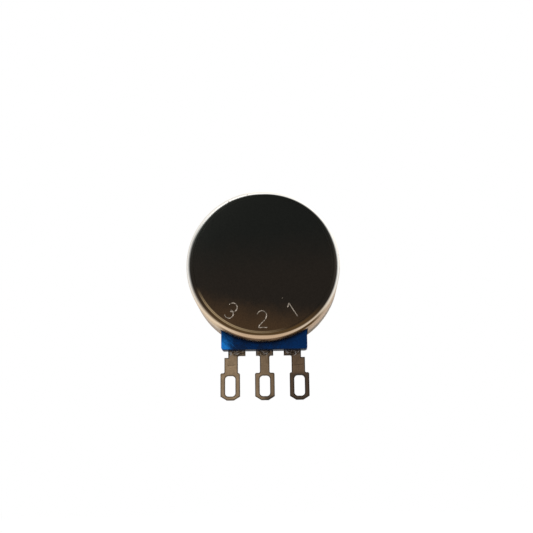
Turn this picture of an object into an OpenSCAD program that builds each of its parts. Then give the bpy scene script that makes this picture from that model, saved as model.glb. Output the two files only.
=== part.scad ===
// Rotary potentiometer: a 24 mm metal-cased body with a slotted 6 mm shaft and three solder lugs.
//
// The origin is the centre of the mounting face, on the shaft's axis. +Y runs along the shaft
// towards its tip and +Z points up, away from the solder lugs.
// Every piece is drawn as seen from behind: x to the right, y up, and z rearward from the
// mounting face. stand() turns that drawing into the frame above.

/* [Cover] */
// Outside diameter of the drawn metal cover
cover_d = 24; // [19:0.1:30]
// Depth from the mounting face to the rear face
body_depth = 9.9; // [8:0.1:14]
// Thickness of the cover's sheet
sheet_t = 0.45; // [0.35:0.05:0.6]
// Outside radius where the rear face turns into the side wall
corner_r = 1.1; // [0.8:0.05:1.6]
// Width of the ring left between the corner and the raised flat of the rear face
face_margin = 0.1; // [0.05:0.05:1]
// Height of the step round that flat
face_step = 0.12; // [0.05:0.01:0.2]
// Angle of the first of four crimp tabs from the horizontal
tab_angle = 35; // [28:1:42]
// Width of a crimp tab
tab_w = 3.2; // [2:0.1:4]
// Reach of a folded crimp tab, inward from the cover's outside
tab_reach = 2.1; // [1.2:0.1:2.6]

/* [Front plate] */
// Thickness of the plate's sheet
plate_t = 1; // [0.8:0.05:1.2]
// Gap between the raised mounting pad and the crimp tabs
pad_clear = 0.7; // [0.2:0.1:1.5]
// Height of the pad above the plate's rim
pad_rise = 0.6; // [0.5:0.02:0.9]
// Width of the locating tab
locator_w = 2.6; // [1.5:0.1:4]
// Height of the locating tab in front of the plate's rim
locator_h = 3; // [1.5:0.1:4]
// Distance from the cover's outside in to the locating tab
locator_inset = 0.7; // [0.4:0.1:1]
// Width of the relief slit on each side of the locating tab
relief_w = 0.4; // [0.2:0.05:0.8]

/* [Bushing] */
// Wall of the threaded bushing, from the shaft to the crests of the thread
bush_wall = 1.5; // [1.2:0.1:2.5]
// Length of the bushing in front of the mounting face
bush_len = 8; // [6:0.1:12]
// Chamfer at the bushing's front end
bush_chamfer = 0.5; // [0.2:0.05:0.8]
// Depth of the seat in the plate that takes the bushing's shoulder
seat_depth = 0.1; // [0.05:0.01:0.2]
// Radial gap between that seat and the shoulder
seat_clear = 0.05; // [0.02:0.01:0.1]
// Step from the thread down to the neck that passes through the plate
neck_inset = 0.5; // [0.3:0.05:0.6]
// Depth of the neck's two flats
neck_flat = 0.4; // [0.2:0.05:0.5]
// Overhang of the neck's end, swaged over behind the plate
swage_over = 1.2; // [0.6:0.1:1.6]
// Thickness of the swaged end
swage_t = 0.6; // [0.4:0.05:0.8]
// Radial clearance between bore and shaft
bore_clear = 0.03; // [0.01:0.01:0.08]

/* [Shaft] */
// Diameter of the shaft
shaft_d = 6; // [5:0.1:7.1]
// Length of the shaft in front of the mounting face
shaft_len = 30; // [15:0.5:50]
// Chamfer at the shaft's tip
tip_chamfer = 0.5; // [0.2:0.1:1]
// Width of the screwdriver slot
slot_w = 1; // [0.8:0.1:1.6]
// Depth of the screwdriver slot
slot_depth = 1.5; // [1:0.1:3]
// Depth of the ring groove
groove_depth = 0.5; // [0.3:0.05:0.8]
// Step from the shaft down to the drive end that carries the rotor
drive_inset = 0.8; // [0.5:0.1:1.2]
// Depth of the drive end's two flats
drive_flat = 0.6; // [0.3:0.05:0.8]
// Overhang of the head that closes the drive end
head_over = 0.4; // [0.2:0.05:0.6]
// Thickness of that head
head_t = 0.4; // [0.3:0.05:0.6]

/* [Washers and ring] */
// Height of the retaining ring above the shaft
ring_proud = 1; // [0.6:0.1:1.1]
// Thickness of the retaining ring
ring_t = 0.6; // [0.4:0.05:0.8]
// Opening angle of the retaining ring
ring_gap_angle = 50; // [30:1:80]
// Width of the washer under the retaining ring
ring_washer_w = 1; // [0.6:0.1:1.2]
// Thickness of that washer
ring_washer_t = 0.3; // [0.2:0.05:0.5]
// Width of the thrust washer behind the bushing
thrust_washer_w = 2; // [1:0.1:2.4]
// Thickness of the thrust washer
thrust_washer_t = 0.3; // [0.2:0.05:0.4]
// Axial play between a running face and its washer
face_clear = 0.05; // [0.02:0.01:0.1]

/* [Rotor] */
// Radial gap between the rotor's disc and the base's stop
rotor_clear = 0.4; // [0.2:0.05:0.6]
// Thickness of the rotor's disc
rotor_t = 1.3; // [1:0.05:1.6]
// Depth of the two reliefs that let the contact fingers flex
relief_depth = 0.5; // [0.3:0.05:0.6]
// Gap between a relief's wall and its finger
relief_side = 0.2; // [0.1:0.05:0.3]
// Radial gap between the rotor's stop and the base's wall
stop_clear = 0.4; // [0.2:0.05:0.6]
// Angular width of the rotor's stop
rotor_stop_angle = 24; // [16:1:30]

/* [Wiper] */
// Thickness of the contact spring's sheet
spring_t = 0.25; // [0.15:0.05:0.35]
// Gap between the contact spring's hub and its inner finger
hub_clear = 0.3; // [0.2:0.05:0.5]
// Width of a contact finger
finger_w = 1; // [0.8:0.05:1.2]
// Width of the slit that splits a finger into two prongs
prong_slit = 0.2; // [0.1:0.05:0.3]
// Angle that a contact finger sweeps before its contact
finger_sweep = 62; // [40:1:80]
// Length of a finger past its contact, as an angle
finger_tail = 4; // [2:0.5:6]
// Diameter of a contact button
button_d = 0.8; // [0.5:0.05:0.95]
// Height of a contact button behind the spring
button_h = 0.45; // [0.3:0.05:0.8]
// Gap left between contact button and track
contact_gap = 0.12; // [0.08:0.01:0.2]

/* [Element board] */
// Thickness of the element board
board_t = 0.8; // [0.6:0.05:1.2]
// Radial gap between the element board and the base's wall
board_clear = 0.2; // [0.1:0.05:0.4]
// Gap between the shaft's end and the hole in the middle of the board
board_hole_clear = 0.7; // [0.3:0.05:0.9]
// Thickness of the printed tracks
track_t = 0.08; // [0.05:0.01:0.1]
// Distance from the board's edge in to the resistive track
track_margin = 1.4; // [1:0.1:1.8]
// Width of the resistive track
track_w = 1.6; // [1.2:0.1:2]
// Angle of an end electrode past its lead, up to the resistive track
electrode_angle = 6.2; // [3:0.1:12]
// Width of an end electrode's lead to its eyelet
lead_w = 1; // [0.6:0.1:1.2]
// Distance from the board's hole out to the collector ring
collector_margin = 0.6; // [0.3:0.05:0.8]
// Width of the collector ring and of its lead
collector_w = 1; // [0.8:0.1:1.2]

/* [Terminal base] */
// Thickness of the terminal block and of the base's floor
block_t = 2; // [1.4:0.1:3]
// Distance from the outer lugs' roots to the block's sides
block_side = 1; // [0.8:0.05:1.6]
// Distance that the terminal block stands out below the cover
block_proud = 1.05; // [0.5:0.05:4]
// Radius of the block's two bottom corners
block_corner_r = 0.4; // [0.2:0.05:0.8]
// Thickness of the base's round wall
base_wall = 1; // [0.8:0.05:1.2]
// Radial gap between the base and the cover
base_gap = 0.15; // [0.1:0.05:0.3]
// Gap between the terminal block and the cover's window
window_gap = 0.15; // [0.1:0.05:0.4]
// Width of the rib that bears on the rear face
rib_w = 1; // [0.6:0.1:1.6]
// Gap between that rib and the eyelets
rib_clear = 0.45; // [0.2:0.05:1]
// Radial thickness of the base's stop
base_stop_t = 1.2; // [1:0.05:1.4]
// Angular width of the base's stop
base_stop_angle = 33; // [20:1:45]

/* [Solder lugs] */
// Thickness of a solder lug
lug_t = 0.5; // [0.3:0.05:0.8]
// Distance between neighbouring lugs where they leave the block
root_pitch = 4.35; // [3.6:0.05:5.2]
// Width of a lug's root
root_w = 2.7; // [2.2:0.05:3.2]
// Clip of the two corners at the root's top
root_clip = 0.6; // [0.2:0.1:1]
// Length of the root below the block
root_len = 0.75; // [0.5:0.05:1.5]
// Length of the stretch where an outer lug steps outward
jog_len = 0.3; // [0.2:0.05:0.8]
// Outward shift of an outer lug's neck from its root
neck_jog = 0.9; // [0.7:0.05:1.1]
// Width of the middle lug's neck
middle_neck_w = 1.5; // [1:0.05:1.8]
// Width of an outer lug's neck
outer_neck_w = 2.1; // [1.7:0.05:2.5]
// Length of the neck
lug_neck_len = 2.4; // [1.5:0.1:4]
// Outward shift of an outer lug's head from its root
head_jog = 1.05; // [0.8:0.05:1.3]
// Width of the solder slot
solder_slot_w = 1.62; // [1.2:0.02:2]
// Length of the solder slot
solder_slot_len = 3.2; // [2.4:0.05:4]
// Radius of the solder slot's corners
slot_corner_r = 0.55; // [0.3:0.05:0.6]
// Width of the metal left on each side of the solder slot
slot_side = 0.71; // [0.5:0.01:1]
// Distance from the top of the head to the solder slot
slot_inset = 0.42; // [0.3:0.02:0.6]
// Clip of the two corners at the head's top
head_clip = 0.15; // [0.05:0.05:0.2]
// Width of the head's flat end
lug_tip_w = 1.1; // [0.8:0.1:2]
// Length of the tapering end
lug_tip_len = 0.6; // [0.4:0.05:1]

/* [Eyelets] */
// Distance from the board's round edge in to the middle eyelet
eyelet_inset = 1.2; // [0.9:0.05:1.6]
// Outside diameter of an eyelet's barrel
eyelet_d = 1.6; // [1.2:0.05:1.9]
// Wall of an eyelet's barrel
eyelet_wall = 0.25; // [0.15:0.05:0.3]
// Overhang of an eyelet's rolled rims
eyelet_rim_over = 0.35; // [0.2:0.05:0.45]
// Thickness of an eyelet's rolled rims
eyelet_rim_t = 0.3; // [0.2:0.02:0.4]
// Width of board left below the eyelets' rims
tongue_margin = 0.35; // [0.2:0.05:0.6]

/* [Hidden] */
$fn = 96;
// How far a cutter runs past the faces that it cuts
past = 1;
// Play of the retaining ring in its groove
ring_play = 0.02;

// Radii of the cover and of what sits in it, from the outside in
cover_r = cover_d / 2;
cover_in_r = cover_r - sheet_t;
base_r = cover_in_r - base_gap;
cavity_r = base_r - base_wall;
board_r = cavity_r - board_clear;
rotor_stop_r = cavity_r - stop_clear;
base_stop_r = cavity_r - base_stop_t;
rotor_r = base_stop_r - rotor_clear;
track_r = board_r - track_margin - track_w / 2;
eyelet_drop = board_r - eyelet_inset;
pad_r = cover_r - tab_reach - pad_clear;
face_r = cover_r - corner_r - face_margin;

// Radii of the shaft and of what sits round it, from the inside out
shaft_r = shaft_d / 2;
groove_r = shaft_r - groove_depth;
drive_r = shaft_r - drive_inset;
head_r = drive_r + head_over;
bore_r = shaft_r + bore_clear;
ring_r = shaft_r + ring_proud;
ring_washer_r = shaft_r + ring_washer_w;
thrust_washer_r = shaft_r + thrust_washer_w;
bush_r = shaft_r + bush_wall;
neck_r = bush_r - neck_inset;
swage_r = neck_r + swage_over;
board_hole_r = head_r + board_hole_clear;
collector_r = board_hole_r + collector_margin + collector_w / 2;
hub_r = collector_r - finger_w / 2 - hub_clear;

// Depths behind the mounting face, from the front to the rear
lip_front = pad_rise - sheet_t;
rim_back = pad_rise + plate_t;
swage_back = plate_t + swage_t;
washer_front = swage_back + face_clear;
rotor_front = washer_front + thrust_washer_t;
rotor_back = rotor_front + rotor_t;
spring_back = rotor_back + spring_t;
button_tip = spring_back + button_h;
track_front = button_tip + contact_gap;
board_front = track_front + track_t;
floor_front = board_front + board_t;
block_back = floor_front + block_t;
window_back = block_back + window_gap;
cover_floor = body_depth - sheet_t;

// Distances in front of the mounting face
ring_washer_back = bush_len + face_clear;
ring_back = ring_washer_back + ring_washer_t;

// Widths and levels of the terminal block and of the lugs, as distances from the axis
lug_row_side = root_pitch + root_w / 2;
block_w = 2 * (lug_row_side + block_side);
block_out = cover_r + block_proud;
neck_pitch = root_pitch + neck_jog;
head_pitch = root_pitch + head_jog;
lug_head_w = solder_slot_w + 2 * slot_side;
root_top = eyelet_drop - root_w / 2;
root_end = block_out + root_len;
jog_end = root_end + jog_len;
head_top = jog_end + lug_neck_len;
head_end = head_top + slot_inset + solder_slot_len;
eyelet_rim_r = eyelet_d / 2 + eyelet_rim_over;
tongue_out = eyelet_drop + eyelet_rim_r + tongue_margin;
rib_r = eyelet_drop - eyelet_rim_r - rib_clear;
locator_out = cover_r - locator_inset;

// Lug 1 is on the right as seen from behind, lug 3 on the left
lug_sides = [1, 0, -1];

// Angles from the horizontal of the right-hand eyelet and of the resistive track's end beside it
eyelet_angle = atan2(-eyelet_drop, root_pitch);
lead_angle = 2 * asin(lead_w / 2 / (track_r - track_w / 2));
track_end = eyelet_angle + lead_angle + electrode_angle;

// The wiper points up at rest, so the travel's open gap is at the bottom
wiper_rest_angle = 90;
rotor_stop_rest_angle = 270;

// Turn a piece drawn from behind into the part's own frame
module stand() {
    rotate([90, 0, 0]) children();
}

// A washer or disc with a round hole, between two depths
module ring(outer_r, inner_r, from, to) {
    translate([0, 0, from]) difference() {
        cylinder(r = outer_r, h = to - from);
        translate([0, 0, -past]) cylinder(r = inner_r, h = to - from + 2 * past);
    }
}

// Section of a closed cup, with a round corner at its far end
module cup_section(r, height, corner) {
    square([r - corner, height]);
    square([r, height - corner]);
    translate([r - corner, height - corner]) circle(corner);
}

// Flat sector of a ring, centred on an angle
module ring_sector(outer_r, inner_r, middle, sweep, from, to) {
    translate([0, 0, from]) rotate([0, 0, middle - sweep / 2])
        rotate_extrude(angle = sweep)
            translate([inner_r, 0]) square([outer_r - inner_r, to - from]);
}

// Bar of even width that runs outward from the axis at an angle
module radial_bar(angle, width, from_r, to_r, from, to) {
    rotate([0, 0, angle]) translate([from_r, -width / 2, from])
        cube([to_r - from_r, width, to - from]);
}

// Round shape with a flat cut from its left and its right
module double_d(r, flat) {
    intersection() {
        circle(r);
        square([2 * (r - flat), 2 * (r + past)], center = true);
    }
}

// Rectangle that hangs down, with its two lower corners rounded
module hanging_block(width, top, bottom, corner) {
    translate([-width / 2, -bottom + corner]) square([width, bottom - corner - top]);
    translate([-width / 2 + corner, -bottom]) square([width - 2 * corner, bottom - top]);
    for (side = [-1, 1])
        translate([side * (width / 2 - corner), -bottom + corner]) circle(corner);
}

// Turn a shape drawn along x to each crimp tab
module at_tabs() {
    for (angle = [tab_angle, 180 - tab_angle, 180 + tab_angle, 360 - tab_angle])
        rotate([0, 0, angle]) children();
}

// Cover: drawn from sheet, with a window for the terminal block and tabs crimped over the plate
module rear_cover() {
    color("silver") stand() difference() {
        rotate_extrude() cover_section();
        cover_gaps();
        translate([-block_w / 2 - window_gap, -cover_r - past, 0])
            cube([block_w + 2 * window_gap, cover_r, window_back]);
    }
}

// Half section of the cover, as radius and depth
module cover_section() {
    difference() {
        union() {
            cup_section(cover_r, body_depth - face_step, corner_r);
            cup_section(face_r, body_depth, face_step);
        }
        cup_section(cover_in_r, cover_floor - face_step, corner_r - sheet_t);
        cup_section(face_r, cover_floor, face_step);
        translate([0, -past]) square([cover_r + past, past + pad_rise]);
    }
    translate([cover_r - tab_reach, lip_front]) square([tab_reach - sheet_t, sheet_t]);
    intersection() {
        translate([cover_in_r, pad_rise]) circle(sheet_t);
        translate([cover_in_r, lip_front]) square(sheet_t);
    }
}

// What is cut away between the crimp tabs, from the lip to the back of the plate's rim
module cover_gaps() {
    difference() {
        cylinder(r = cover_r + past, h = rim_back);
        at_tabs() translate([0, -tab_w / 2, -past])
            cube([cover_r + 2 * past, tab_w, rim_back + 2 * past]);
    }
}

// Front plate: pressed sheet with a raised pad, notches for the crimp tabs and a bent-up locating tab
module front_plate() {
    color("lightgray") stand() {
        difference() {
            rotate_extrude() plate_section();
            plate_hole();
            at_tabs() tab_notch();
            locator_window();
        }
        locating_tab();
    }
}

// Half section of the plate: pad and rim joined by a joggle
module plate_section() {
    edge = 0.1;
    square([pad_r - edge, plate_t]);
    translate([0, edge]) square([pad_r, plate_t - edge]);
    translate([pad_r - edge, edge]) circle(edge);
    translate([pad_r - plate_t, pad_rise]) square([cover_r - pad_r + plate_t, plate_t]);
}

// Hole for the bushing's neck, with a shallow seat for its shoulder
module plate_hole() {
    translate([0, 0, -past]) linear_extrude(plate_t + 2 * past) double_d(neck_r, neck_flat);
    translate([0, 0, -past]) cylinder(r = bush_r + seat_clear, h = seat_depth + past);
}

// Notch in the plate's rim that a crimp tab runs through
module tab_notch() {
    intersection() {
        ring(cover_r + past, cover_in_r, 0, rim_back + past);
        translate([0, -tab_w / 2, 0]) cube([cover_r + 2 * past, tab_w, rim_back + past]);
    }
}

// What is cut from the rim round the locating tab
module locator_window() {
    width = locator_w + 2 * relief_w;
    translate([-width / 2, locator_out - plate_t - relief_w, 0])
        cube([width, cover_r, rim_back + past]);
}

// Locating tab, bent forward out of the rim
module locating_tab() {
    bend = locator_out - plate_t;
    translate([-locator_w / 2, 0, 0]) rotate([90, 0, 90]) linear_extrude(locator_w) {
        translate([pad_r, pad_rise]) square([bend - pad_r, plate_t]);
        translate([bend, pad_rise - locator_h]) square([plate_t, locator_h]);
        intersection() {
            translate([bend, pad_rise]) circle(plate_t);
            translate([bend, pad_rise]) square(plate_t);
        }
    }
}

// Bushing: turned, with a flatted neck through the plate that is swaged over behind it
module bushing() {
    color("gainsboro") stand() difference() {
        union() {
            translate([0, 0, -bush_len]) cylinder(r1 = bush_r - bush_chamfer, r2 = bush_r, h = bush_chamfer);
            translate([0, 0, bush_chamfer - bush_len])
                cylinder(r = bush_r, h = bush_len - bush_chamfer + seat_depth);
            linear_extrude(plate_t) double_d(neck_r, neck_flat);
            translate([0, 0, plate_t]) cylinder(r = swage_r, h = swage_t);
        }
        translate([0, 0, -bush_len - past]) cylinder(r = bore_r, h = bush_len + swage_back + 2 * past);
    }
}

// Shaft: turned, with a screwdriver slot, a ring groove and a flatted drive end closed by a head
module shaft() {
    color("gray") stand() {
        difference() {
            union() {
                translate([0, 0, -shaft_len])
                    cylinder(r1 = shaft_r - tip_chamfer, r2 = shaft_r, h = tip_chamfer);
                translate([0, 0, tip_chamfer - shaft_len])
                    cylinder(r = shaft_r, h = shaft_len - tip_chamfer + rotor_front);
            }
            translate([-shaft_d, -slot_w / 2, -shaft_len - past]) cube([2 * shaft_d, slot_w, slot_depth + past]);
            ring(shaft_r + past, groove_r, -ring_back - ring_t - 2 * ring_play, -ring_back);
        }
        translate([0, 0, rotor_front]) linear_extrude(spring_back - rotor_front) double_d(drive_r, drive_flat);
        translate([0, 0, spring_back]) cylinder(r = head_r, h = head_t);
    }
}

// Retaining ring: an open ring in the shaft's groove
module retaining_ring() {
    sweep = 360 - ring_gap_angle;
    from = -ring_back - ring_t - ring_play;
    color("dimgray") stand()
        ring_sector(ring_r, groove_r, wiper_rest_angle, sweep, from, from + ring_t);
}

// Washer between the bushing's front end and the retaining ring
module ring_washer() {
    color("silver") stand() ring(ring_washer_r, bore_r, -ring_back, -ring_washer_back);
}

// Thrust washer between the bushing's swaged end and the rotor
module thrust_washer() {
    color("ivory") stand() ring(thrust_washer_r, bore_r, washer_front, rotor_front);
}

// Rotor: a moulded disc with a stop, driven by the shaft's flats
module rotor() {
    relief_half = finger_w / 2 + relief_side;
    color("saddlebrown") stand() difference() {
        union() {
            translate([0, 0, rotor_front]) cylinder(r = rotor_r, h = rotor_t);
            ring_sector(rotor_stop_r, hub_r, rotor_stop_rest_angle, rotor_stop_angle,
                rotor_front, rotor_back - relief_depth);
        }
        translate([0, 0, rotor_front - past]) linear_extrude(rotor_t + 2 * past) double_d(drive_r, drive_flat);
        ring(rotor_stop_r + past, track_r - relief_half, rotor_back - relief_depth, rotor_back + past);
        ring(collector_r + relief_half, collector_r - relief_half, rotor_back - relief_depth, rotor_back + past);
    }
}

// Contact spring: a stamped hub with two curved fingers, each split into two prongs
module wiper_spring() {
    color("goldenrod") stand() difference() {
        union() {
            translate([0, 0, rotor_back]) cylinder(r = hub_r, h = spring_t);
            finger(track_r, wiper_rest_angle);
            finger(collector_r, wiper_rest_angle + 180);
        }
        translate([0, 0, rotor_back - past]) linear_extrude(spring_t + 2 * past) double_d(drive_r, drive_flat);
        finger_slit(track_r, wiper_rest_angle);
        finger_slit(collector_r, wiper_rest_angle + 180);
        at_contacts() cylinder(d = button_d, h = body_depth);
    }
}

// Curved finger at a radius, whose contact lies at an angle, with the bar that ties it to the hub
module finger(radius, contact_angle) {
    ring_sector(radius + finger_w / 2, radius - finger_w / 2, contact_angle - finger_sweep / 2,
        finger_sweep + 2 * finger_tail, rotor_back, spring_back);
    radial_bar(contact_angle - finger_sweep, finger_w, drive_r, radius, rotor_back, spring_back);
}

// Slit that splits a finger
module finger_slit(radius, contact_angle) {
    slit_sweep = finger_sweep * 0.7;
    ring_sector(radius + prong_slit / 2, radius - prong_slit / 2, contact_angle - slit_sweep / 2,
        slit_sweep, rotor_back - past, spring_back + past);
}

// Places of the two contact buttons
module at_contacts() {
    rotate([0, 0, wiper_rest_angle]) translate([track_r, 0, 0]) children();
    rotate([0, 0, wiper_rest_angle + 180]) translate([collector_r, 0, 0]) children();
}

// Contact buttons, set in the fingers' ends, with round tips towards the board
module wiper_contacts() {
    tip_r = button_d / 2;
    shank_end = button_tip - tip_r / 2;
    color("gold") stand() at_contacts() {
        translate([0, 0, rotor_back]) cylinder(r = tip_r, h = shank_end - rotor_back);
        translate([0, 0, shank_end]) cylinder(r1 = tip_r, r2 = tip_r / 2, h = tip_r / 2);
    }
}

// Terminal base: one moulding with a round cup for the rotor and a block that holds the lugs
module terminal_base() {
    color("royalblue") stand() difference() {
        union() {
            translate([0, 0, rim_back]) cylinder(r = base_r, h = block_back - rim_back);
            translate([0, 0, rim_back]) linear_extrude(floor_front - rim_back)
                hanging_block(block_w, 0, cover_r, block_corner_r);
            translate([0, 0, floor_front]) linear_extrude(block_t)
                hanging_block(block_w, 0, block_out, block_corner_r);
            ring(rib_r, rib_r - rib_w, block_back - block_t / 2, cover_floor);
        }
        base_cavity();
        for (side = lug_sides) {
            lug_pocket(side);
            eyelet_hole(side);
        }
    }
}

// Hollow of the base, with the stop left standing at the top
module base_cavity() {
    pocket_side = lug_row_side + board_clear / 2;
    difference() {
        translate([0, 0, rim_back - past]) cylinder(r = cavity_r, h = floor_front - rim_back + past);
        ring_sector(cavity_r + past, base_stop_r, wiper_rest_angle, base_stop_angle,
            rim_back, board_front);
    }
    translate([-pocket_side, -tongue_out - board_clear / 2, rim_back - past])
        cube([2 * pocket_side, tongue_out, floor_front - rim_back + past]);
}

// Pocket in the block's front face that a lug lies in
module lug_pocket(side) {
    x = side * root_pitch;
    translate([0, 0, floor_front]) linear_extrude(lug_t) polygon(concat(root_cap(x), [
        [x - root_w / 2, -block_out - past],
        [x + root_w / 2, -block_out - past]
    ]));
}

// Hole for an eyelet's barrel
module eyelet_hole(side) {
    translate([side * root_pitch, -eyelet_drop, 0]) cylinder(d = eyelet_d, h = body_depth);
}

// Element board: a flat disc with a tongue for the eyelets
module element_board() {
    color("peru") stand() difference() {
        translate([0, 0, board_front]) linear_extrude(board_t) {
            circle(board_r);
            translate([-lug_row_side, -tongue_out]) square([2 * lug_row_side, tongue_out]);
        }
        translate([0, 0, board_front - past]) cylinder(r = board_hole_r, h = board_t + 2 * past);
        for (side = lug_sides) eyelet_hole(side);
    }
}

// Resistive track: printed carbon, open at the bottom
module resistive_track() {
    color("black") stand()
        ring_sector(track_r + track_w / 2, track_r - track_w / 2, wiper_rest_angle,
            2 * (wiper_rest_angle - track_end), track_front, board_front);
}

// End electrodes: printed silver, from each end of the track to its eyelet
module end_electrodes() {
    color("whitesmoke") stand() for (side = [-1, 1]) mirror([side < 0 ? 1 : 0, 0, 0]) end_electrode();
}

// Right-hand end electrode
module end_electrode() {
    sweep = track_end - eyelet_angle;
    difference() {
        union() {
            ring_sector(track_r + track_w / 2, track_r - track_w / 2, track_end - sweep / 2, sweep,
                track_front, board_front);
            radial_bar(eyelet_angle + asin(lead_w / 2 / track_r), lead_w, track_r,
                norm([root_pitch, eyelet_drop]), track_front, board_front);
            translate([root_pitch, -eyelet_drop, track_front]) cylinder(r = eyelet_rim_r, h = track_t);
        }
        eyelet_hole(1);
    }
}

// Collector: a printed silver ring with a lead to the middle eyelet
module collector_track() {
    color("whitesmoke") stand() difference() {
        union() {
            ring(collector_r + collector_w / 2, collector_r - collector_w / 2, track_front, board_front);
            radial_bar(-wiper_rest_angle, collector_w, collector_r, eyelet_drop, track_front, board_front);
            translate([0, -eyelet_drop, track_front]) cylinder(r = eyelet_rim_r, h = track_t);
        }
        eyelet_hole(0);
    }
}

// Solder lug: stamped sheet, riveted at the top, with a slotted head below
module solder_lug(side) {
    color("tan") stand() translate([0, 0, floor_front]) linear_extrude(lug_t) difference() {
        mirror([side < 0 ? 1 : 0, 0, 0]) polygon(lug_outline(side == 0));
        translate([side * root_pitch, -eyelet_drop]) circle(d = eyelet_d);
        solder_slot(side * head_pitch);
    }
}

// Top end of a lug's root, from right to left, with its corners clipped
function root_cap(x) = [
    [x + root_w / 2, -root_top - root_clip],
    [x + root_w / 2 - root_clip, -root_top],
    [x - root_w / 2 + root_clip, -root_top],
    [x - root_w / 2, -root_top - root_clip]
];

// One side of a lug from the root down to its tip. The neck starts at a given level.
function lug_side(root_edge, neck_edge, head_edge, tip_edge, neck_start) = [
    [root_edge, -neck_start],
    [neck_edge, -neck_start],
    [neck_edge, -head_top],
    [head_edge + sign(neck_edge - head_edge) * head_clip, -head_top],
    [head_edge, -head_top - head_clip],
    [head_edge, -head_end],
    [tip_edge, -head_end - lug_tip_len]
];

// Points of a list from the last to the first
function reversed(points) = [for (i = [len(points) - 1:-1:0]) points[i]];

// Outline of the middle lug, or of the right-hand one, whose neck steps outward from its root
function lug_outline(middle) = let(
    root_x = middle ? 0 : root_pitch,
    neck_x = middle ? 0 : neck_pitch,
    head_x = middle ? 0 : head_pitch,
    neck_w = middle ? middle_neck_w : outer_neck_w
) concat(
    root_cap(root_x),
    lug_side(root_x - root_w / 2, neck_x - neck_w / 2, head_x - lug_head_w / 2,
        head_x - lug_tip_w / 2, root_end),
    reversed(lug_side(root_x + root_w / 2, neck_x + neck_w / 2, head_x + lug_head_w / 2,
        head_x + lug_tip_w / 2, middle ? root_end : jog_end))
);

// Slot for the wire, with rounded corners
module solder_slot(x) {
    half_w = solder_slot_w / 2;
    inner_w = half_w - slot_corner_r;
    top = head_top + slot_inset;
    translate([x - half_w, slot_corner_r - head_end])
        square([solder_slot_w, head_end - top - 2 * slot_corner_r]);
    translate([x - inner_w, -head_end]) square([2 * inner_w, head_end - top]);
    for (side = [-1, 1], y = [top + slot_corner_r, head_end - slot_corner_r])
        translate([x + side * inner_w, -y]) circle(slot_corner_r);
}

// Eyelet: a tube that clamps board, lug and base between two rolled rims
module eyelet(side) {
    rim_front = track_front - eyelet_rim_t;
    rear = block_back + eyelet_rim_t;
    color("khaki") stand() translate([side * root_pitch, -eyelet_drop, 0]) difference() {
        union() {
            translate([0, 0, rim_front]) cylinder(r = eyelet_rim_r, h = eyelet_rim_t);
            translate([0, 0, rim_front]) cylinder(d = eyelet_d, h = rear - rim_front);
            translate([0, 0, block_back]) cylinder(r = eyelet_rim_r, h = eyelet_rim_t);
        }
        cylinder(d = eyelet_d - 2 * eyelet_wall, h = body_depth);
    }
}

module terminal_1() { solder_lug(lug_sides[0]); }
module terminal_2() { solder_lug(lug_sides[1]); }
module terminal_3() { solder_lug(lug_sides[2]); }
module eyelet_1() { eyelet(lug_sides[0]); }
module eyelet_2() { eyelet(lug_sides[1]); }
module eyelet_3() { eyelet(lug_sides[2]); }

rear_cover();
front_plate();
bushing();
shaft();
retaining_ring();
ring_washer();
thrust_washer();
rotor();
wiper_spring();
wiper_contacts();
terminal_base();
element_board();
resistive_track();
end_electrodes();
collector_track();
terminal_1();
terminal_2();
terminal_3();
eyelet_1();
eyelet_2();
eyelet_3();
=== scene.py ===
"""A panel-mounted rotary potentiometer, seen from behind and a little below.

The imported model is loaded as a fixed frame. The case, the bushing and the solder lugs are modelled
again in finer detail in their own places, and the other pieces keep their solids and get a finish.
"""

from __future__ import annotations

import logging
import math
from dataclasses import dataclass, field
from enum import Enum
from typing import Any, Callable, Iterable, Sequence

import bmesh
import bpy
from mathutils import Matrix, Vector

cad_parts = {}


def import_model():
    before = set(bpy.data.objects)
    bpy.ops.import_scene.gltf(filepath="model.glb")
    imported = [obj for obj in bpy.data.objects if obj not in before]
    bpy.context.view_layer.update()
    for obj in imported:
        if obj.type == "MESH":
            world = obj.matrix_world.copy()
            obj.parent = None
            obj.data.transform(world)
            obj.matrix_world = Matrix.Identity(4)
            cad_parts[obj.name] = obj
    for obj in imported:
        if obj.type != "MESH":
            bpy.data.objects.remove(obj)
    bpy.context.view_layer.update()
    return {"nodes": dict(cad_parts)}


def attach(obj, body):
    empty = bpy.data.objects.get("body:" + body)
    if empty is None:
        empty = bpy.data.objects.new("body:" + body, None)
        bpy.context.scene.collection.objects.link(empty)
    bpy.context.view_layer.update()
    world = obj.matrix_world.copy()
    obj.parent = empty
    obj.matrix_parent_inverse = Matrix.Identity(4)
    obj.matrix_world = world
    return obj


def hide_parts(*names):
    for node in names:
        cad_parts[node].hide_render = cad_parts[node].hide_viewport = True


log = logging.getLogger("potentiometer")

MM = 0.001
SAME_PLACE = 1e-5
CUT_MARGIN = 1.0
IMAGE_SIDE = 533

Point = tuple[float, float]
Place = tuple[float, float, float]
Colour = tuple[float, float, float]
Socket = bpy.types.NodeSocket
Node = bpy.types.Node
NodeTree = bpy.types.NodeTree
Material = bpy.types.Material
Piece = bpy.types.Object
Mesh = bmesh.types.BMesh
Ring = list[bmesh.types.BMVert]


def srgb(red: float, green: float, blue: float) -> Colour:
    """Turn a colour as a screen shows it, 0 to 255, into the linear values of a shader."""
    return tuple(
        (v / 255 / 12.92) if v <= 10 else ((v / 255 + 0.055) / 1.055) ** 2.4
        for v in (red, green, blue)
    )


class Grain(Enum):
    """Direction in which a metal surface is marked by its making."""

    PLAIN = "plain"
    TURNED = "turned"
    ROLLED = "rolled"


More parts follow.
